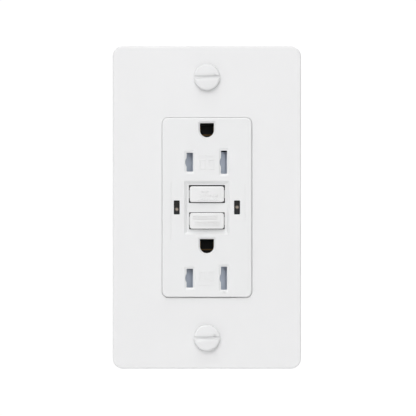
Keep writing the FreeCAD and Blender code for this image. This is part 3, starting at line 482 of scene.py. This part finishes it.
def face_marks():
    """Generic raised marks on the face: frames and dashes by each socket, dashes by the edges."""
    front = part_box("face_cover")[0].y / MM
    mesh = bmesh.new()
    generator = random.Random(MARK_SEED + 1)

    def surface(x, z, lift):
        return x, front - lift, z

    for middle, side in SOCKET_MARKS:
        z0, z1 = sorted((middle - 2.7 * side, middle + 1.0 * side))
        for x0 in (-2.8, 0.4):
            frame_mark(mesh, x0, x0 + 2.4, z0, z1, 0.45, surface, FACE_HEIGHT)
        dash_row(mesh, generator, -3.2, 3.0, middle + 2.5 * side, 0.5, surface, FACE_HEIGHT)
    for x, z, end in EDGE_DASHES:
        while z < end:
            length = generator.uniform(0.35, 0.8)
            raised_bar(mesh, x, x + 0.45, z, z + length, surface, FACE_HEIGHT)
            z += length + generator.uniform(0.25, 0.45)
    frame_mark(mesh, 5.9, 6.9, -32.0, -31.0, 0.25, surface, FACE_HEIGHT)
    finish_piece("face_marks", mesh, "face_plastic", "device")


# ---------------------------------------------------------------- threaded screws

# One turn of thread: share of the pitch along the axis, and share of the full depth there.
THREAD_ROWS = ((0.0, 0.0), (0.2, 0.0), (0.5, 1.0), (0.7, 1.0))
THREAD_SEGMENTS = 20
THREAD_DEPTH = 0.58                 # of the pitch
PITCH = 25.4 / 32 * MM              # of both 6-32 and 8-32 screws
RADIUS_6 = 1.75 * MM
RADIUS_8 = 2.0 * MM
CHAMFER_6 = 0.5 * MM
CHAMFER_8 = 0.3 * MM
OVERLAP = 0.05 * MM                 # of a thread with its head
PLATE_HEAD_T = 2.6 * MM
BOX_HEAD_R = 3.4 * MM
BOX_SHANK_Y = 1.2 * MM
TERMINAL_HEAD_T = 2.2 * MM
HEAD_REACH = 6.0 * MM               # from a screw's axis, more than any head's radius
SHARP_ANGLE = math.radians(32)


def drop_outside(mesh, place, outward):
    """Cuts a mesh at a plane, drops what is outside and closes the cut with one face."""
    geometry = mesh.verts[:] + mesh.edges[:] + mesh.faces[:]
    cut = bmesh.ops.bisect_plane(mesh, geom=geometry, plane_co=place, plane_no=outward, dist=1e-8,
                                 clear_outer=True)
    rim = [item for item in cut["geom_cut"]
           if isinstance(item, bmesh.types.BMEdge) and item.is_boundary]
    bmesh.ops.contextual_create(mesh, geom=rim)


def thread(start, axis, length, radius, chamfer):
    """Closed rod with a helical thread, from start along a unit axis."""
    mesh = bmesh.new()
    side = axis.orthogonal().normalized()
    other = axis.cross(side)
    per_turn = len(THREAD_ROWS)
    turns = math.ceil(length / PITCH) + 1
    grid = {}
    for k in range(-per_turn, (turns + 1) * per_turn + 1):
        share, sunk = THREAD_ROWS[k % per_turn]
        for j in range(THREAD_SEGMENTS):
            angle = 2 * math.pi * j / THREAD_SEGMENTS
            along = (k // per_turn + share + j / THREAD_SEGMENTS) * PITCH
            reach = radius - sunk * THREAD_DEPTH * PITCH
            reach = min(reach, max(radius - chamfer + length - along, 0.3 * radius))
            out = side * math.cos(angle) + other * math.sin(angle)
            grid[k, j] = mesh.verts.new(start + axis * along + out * reach)
    for k, j in list(grid):
        right = (k, j + 1) if j + 1 < THREAD_SEGMENTS else (k + per_turn, 0)
        corner = (right[0] + 1, right[1])
        above = (k + 1, j)
        if right in grid and corner in grid and above in grid:
            mesh.faces.new((grid[k, j], grid[right], grid[corner], grid[above]))
    drop_outside(mesh, start, -axis)
    drop_outside(mesh, start + axis * length, axis)
    loose = [vertex for vertex in mesh.verts if not vertex.link_faces]
    bmesh.ops.delete(mesh, geom=loose, context="VERTS")
    return mesh


def add_mesh(whole, part):
    """Moves the geometry of one bmesh into another."""
    data = bpy.data.meshes.new("part")
    part.to_mesh(data)
    part.free()
    whole.from_mesh(data)
    bpy.data.meshes.remove(data)


def screw_head(node, start, axis):
    """The part of a CAD screw before its thread: the solid around start, closed where it is cut."""
    mesh = bmesh.new()
    mesh.from_mesh(NODES[node].data)
    bmesh.ops.remove_doubles(mesh, verts=mesh.verts, dist=1e-7)
    far = [vertex for vertex in mesh.verts
           if (vertex.co - start - axis * (vertex.co - start).dot(axis)).length > HEAD_REACH]
    bmesh.ops.delete(mesh, geom=far, context="VERTS")
    drop_outside(mesh, start, axis)
    return mesh


def screws(node, body, slot, shanks, radius, chamfer):
    """CAD screws whose smooth shanks are swapped for real threads, each (start, axis, length)."""
    whole = bmesh.new()
    for start, axis, length in shanks:
        start = Vector(start)
        axis = Vector(axis)
        add_mesh(whole, screw_head(node, start, axis))
        rod = thread(start - axis * OVERLAP, axis, length + OVERLAP, radius, chamfer)
        add_mesh(whole, rod)
    piece = finish_piece(node + "_threaded", whole, slot, body)
    for face in piece.data.polygons:
        face.use_smooth = True
    piece.data.set_sharp_from_angle(angle=SHARP_ANGLE)
    flat = piece.modifiers.new("flat", "WEIGHTED_NORMAL")
    flat.keep_sharp = True
    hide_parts(node)


def terminal_thread(node, side, slot):
    """Terminal screw along X, head outwards on the given side."""
    low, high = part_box(node)
    y = (low.y + high.y) / 2
    z = (low.z + high.z) / 2
    outer, inner = (low.x, high.x) if side < 0 else (high.x, low.x)
    start = outer - side * (TERMINAL_HEAD_T + OVERLAP)
    shank = ((start, y, z), (-side, 0, 0), abs(start - inner))
    screws(node, node, slot, [shank], RADIUS_8, CHAMFER_8)


def threaded_screws():
    """Every screw whose shank shows, with its thread as far as the CAD shank reaches."""
    for node in ("upper_plate_screw", "lower_plate_screw"):
        low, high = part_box(node)
        start = low.y + PLATE_HEAD_T
        shank = ((0, start, (low.z + high.z) / 2), (0, 1, 0), high.y - start)
        screws(node, node, "painted_screw", [shank], RADIUS_6, CHAMFER_6)
    low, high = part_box("box_screws")
    shanks = [((0, BOX_SHANK_Y, z), (0, 1, 0), high.y - BOX_SHANK_Y)
              for z in (low.z + BOX_HEAD_R, high.z - BOX_HEAD_R)]
    screws("box_screws", "device", "zinc_steel", shanks, RADIUS_6, CHAMFER_6)
    for pole, side, slot in (("hot", -1, "brass_screw"), ("neutral", 1, "nickel_brass")):
        for row in ("line", "load"):
            terminal_thread(pole + "_" + row + "_screw", side, slot)
    terminal_thread("ground_screw", -1, "ground_green")


# ---------------------------------------------------------------- rear housing, in millimetres

PANEL_DEPTH = 0.4
PANEL_HEIGHT = 0.2
FRAME_HEIGHT = 0.25
RIB_HEIGHT = 0.4
SIDE_RIBS_Z = (-30.0, -27.0, -24.0, 24.0, 27.0, 30.0)
END_RIBS_X = (-12.0, -6.0, 0.0, 6.0, 12.0)


def housing_marks():
    """Raised bars in the sunken panel on the back of the housing."""
    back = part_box("rear_housing")[1].y / MM
    mesh = bmesh.new()
    generator = random.Random(MARK_SEED + 2)

    def surface(x, z, lift):
        return x, back - PANEL_DEPTH + lift, z

    frame_mark(mesh, -9.0, 9.0, -9.0, 13.0, 0.4, surface, PANEL_HEIGHT)
    for row in range(4):
        dash_row(mesh, generator, -7.2, 7.2, 11.0 - 1.7 * row, 0.8, surface, PANEL_HEIGHT)
    block_row(mesh, -7.2, 7.2, 2.4, 2.0, surface, PANEL_HEIGHT)
    for row in range(4):
        z = -0.6 - 2.0 * row
        raised_bar(mesh, -7.2, -1.2, z - 0.6, z, surface, PANEL_HEIGHT)
        frame_mark(mesh, 1.2, 7.2, z - 1.1, z, 0.25, surface, PANEL_HEIGHT)
    finish_piece("housing_marks", mesh, "housing_plastic", "device")


def side_panel(mesh, generator, surface):
    """Frame on a side wall, with rows of dashes and blocks in it."""
    frame_mark(mesh, 8.0, 26.0, -5.6, 5.6, 0.5, surface, FRAME_HEIGHT)
    for row in range(3):
        dash_row(mesh, generator, 10.0, 24.0, 3.2 - 1.8 * row, 0.8, surface, PANEL_HEIGHT)
    block_row(mesh, 10.0, 22.5, -3.2, 1.8, surface, PANEL_HEIGHT)


def housing_ribs():
    """Stiffening ribs and a framed panel on the sides of the housing, and ribs on its ends."""
    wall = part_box("rear_housing")[1] / MM
    mesh = bmesh.new()
    generator = random.Random(MARK_SEED + 3)
    for side in (-1, 1):

        def side_wall(y, z, lift):
            return side * (wall.x + lift), y, z

        def end_wall(x, y, lift):
            return x, y, side * (wall.z + lift)

        for z in SIDE_RIBS_Z:
            raised_bar(mesh, 7.0, 26.0, z - 0.45, z + 0.45, side_wall, RIB_HEIGHT)
        side_panel(mesh, generator, side_wall)
        for x in END_RIBS_X:
            raised_bar(mesh, x - 0.5, x + 0.5, 9.0, 26.0, end_wall, RIB_HEIGHT)
    finish_piece("housing_ribs", mesh, "housing_plastic", "device")


# ---------------------------------------------------------------- board parts, in millimetres

RESISTOR_PLACES = ((-9.6, 3.6), (-9.6, 6.2), (9.6, 4.4), (6.0, -1.6), (-6.2, -1.4))
RESISTOR_LIFT = 1.1
# Pairs of distance along the axis and radius.
RESISTOR_PROFILE = ((-1.9, 0.25), (-1.8, 0.75), (-1.5, 0.95), (-1.1, 0.95), (-0.9, 0.8),
                    (0.9, 0.8), (1.1, 0.95), (1.5, 0.95), (1.8, 0.75), (1.9, 0.25))
SOLDER_PROFILE = ((0.0, 0.75), (0.12, 0.6), (0.3, 0.42), (0.55, 0.28), (0.7, 0.1))


def lathe(mesh, profile, centre, axis, segments):
    """Closed surface of revolution of a profile about an axis through centre."""
    along = Vector(axis)
    side = along.orthogonal().normalized()
    other = along.cross(side)
    rings = []
    for distance, radius in profile:
        ring = []
        for k in range(segments):
            angle = 2 * math.pi * k / segments
            out = side * math.cos(angle) + other * math.sin(angle)
            place = Vector(centre) + along * distance + out * radius
            ring.append(mesh.verts.new(place * MM))
        rings.append(ring)
    for low, high in zip(rings, rings[1:]):
        for k in range(segments):
            n = (k + 1) % segments
            mesh.faces.new((low[k], low[n], high[n], high[k]))
    mesh.faces.new(rings[0][::-1])
    mesh.faces.new(rings[-1])


def resistors():
    """Small axial resistors lying on the back of the board."""
    board_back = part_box("circuit_board")[1].y / MM
    mesh = bmesh.new()
    for x, z in RESISTOR_PLACES:
        lathe(mesh, RESISTOR_PROFILE, (x, board_back + RESISTOR_LIFT, z), (0, 0, 1), 20)
    finish_piece("resistors", mesh, "fibre_washer", "device")


def solder_joints():
    """Small solder fillets on the front of the board."""
    board_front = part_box("circuit_board")[0].y / MM
    mesh = bmesh.new()
    for row in range(5):
        for column in range(3):
            place = (-11.5 + 1.9 * column, board_front, 14.0 + 2.4 * row)
            lathe(mesh, SOLDER_PROFILE, place, (0, -1, 0), 12)
    finish_piece("solder_joints", mesh, "silver_contact", "device")


# ---------------------------------------------------------------- stage, light and camera

VIEW_WIDTH = 154.65 * MM
VIEW_CENTRE = Vector((0.41 * MM, 0.0, -0.22 * MM))
CAMERA_DISTANCE = 1.25
SENSOR = 36.0
FLOOR_RADIUS = 1.3
FLOOR_Z = -0.16
LOW_FILL = 0.08
HIGH_FILL = 0.54
SEEN_WHITE = 1.05
# Name, place, size and power of each light; all of them point at the origin.
SOFTBOXES = (("key_front", (-0.1, -1.55, 0.45), (0.9, 0.8), 2.8),
             ("key_low", (-0.2, -1.7, 1.1), (1.1, 0.9), 11.7),
             ("key_middle", (-0.1, -1.05, 1.4), (0.9, 0.8), 3.35),
             ("key_top", (0.0, -0.45, 1.55), (0.9, 0.8), 3.95),
             ("left", (-1.5, -0.55, 0.35), (0.9, 0.8), 2.0),
             ("back", (0.7, 1.5, 1.0), (1.0, 0.9), 17.0))


def floor():
    """Round pale floor below the object."""
    mesh = bmesh.new()
    bmesh.ops.create_circle(mesh, cap_ends=True, segments=96, radius=FLOOR_RADIUS)
    data = bpy.data.meshes.new("floor")
    mesh.to_mesh(data)
    mesh.free()
    piece = bpy.data.objects.new("floor", data)
    piece.location = (0, 0, FLOOR_Z)
    bpy.context.scene.collection.objects.link(piece)
    data.materials.append(plastic("floor_paint", (0.78, 0.78, 0.78), 0.7).material)


def white_world():
    """White surroundings, brighter overhead, whose light is weaker than what the camera sees."""
    world = bpy.data.worlds.new("studio")
    bpy.context.scene.world = world
    world.use_nodes = True
    tree = world.node_tree
    background = tree.nodes["Background"]
    background.inputs["Color"].default_value = (1, 1, 1, 1)
    place = tree.nodes.new("ShaderNodeTexCoord")
    split = tree.nodes.new("ShaderNodeSeparateXYZ")
    height = tree.nodes.new("ShaderNodeMapRange")
    height.inputs["From Min"].default_value = -0.5
    height.inputs["To Min"].default_value = LOW_FILL
    height.inputs["To Max"].default_value = HIGH_FILL
    tree.links.new(place.outputs["Generated"], split.inputs["Vector"])
    tree.links.new(split.outputs["Z"], height.inputs["Value"])
    tree.links.new(height.outputs["Result"], background.inputs["Strength"])
    seen = tree.nodes.new("ShaderNodeBackground")
    seen.inputs["Color"].default_value = (1, 1, 1, 1)
    seen.inputs["Strength"].default_value = SEEN_WHITE
    mix = tree.nodes.new("ShaderNodeMixShader")
    path = tree.nodes.new("ShaderNodeLightPath")
    tree.links.new(path.outputs["Is Camera Ray"], mix.inputs["Fac"])
    tree.links.new(background.outputs["Background"], mix.inputs[1])
    tree.links.new(seen.outputs["Background"], mix.inputs[2])
    tree.links.new(mix.outputs["Shader"], tree.nodes["World Output"].inputs["Surface"])


def softbox(name, place, size, power):
    """Rectangular area light pointing at the origin."""
    data = bpy.data.lights.new(name, "AREA")
    data.shape = "RECTANGLE"
    data.size, data.size_y = size
    data.energy = power
    lamp = bpy.data.objects.new(name, data)
    lamp.location = place
    lamp.rotation_euler = (-Vector(place)).to_track_quat("-Z", "Y").to_euler()
    bpy.context.scene.collection.objects.link(lamp)


def camera():
    """Long lens straight in front, with a view VIEW_WIDTH across at the plate's front."""
    data = bpy.data.cameras.new("camera")
    data.sensor_width = SENSOR
    data.lens = SENSOR * CAMERA_DISTANCE / VIEW_WIDTH
    data.clip_start = 0.05
    data.clip_end = 20
    made = bpy.data.objects.new("camera", data)
    plate_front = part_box("wall_plate")[0].y
    made.location = VIEW_CENTRE + Vector((0, plate_front - CAMERA_DISTANCE, 0))
    made.rotation_euler = (math.radians(90), 0, 0)
    bpy.context.scene.collection.objects.link(made)
    bpy.context.scene.camera = made


paint_cad_nodes()
threaded_screws()
test_marks()
reset_marks()
face_marks()
housing_marks()
housing_ribs()
resistors()
solder_joints()
floor()
white_world()
for light in SOFTBOXES:
    softbox(*light)
camera()
bpy.context.scene.view_settings.view_transform = "Standard"
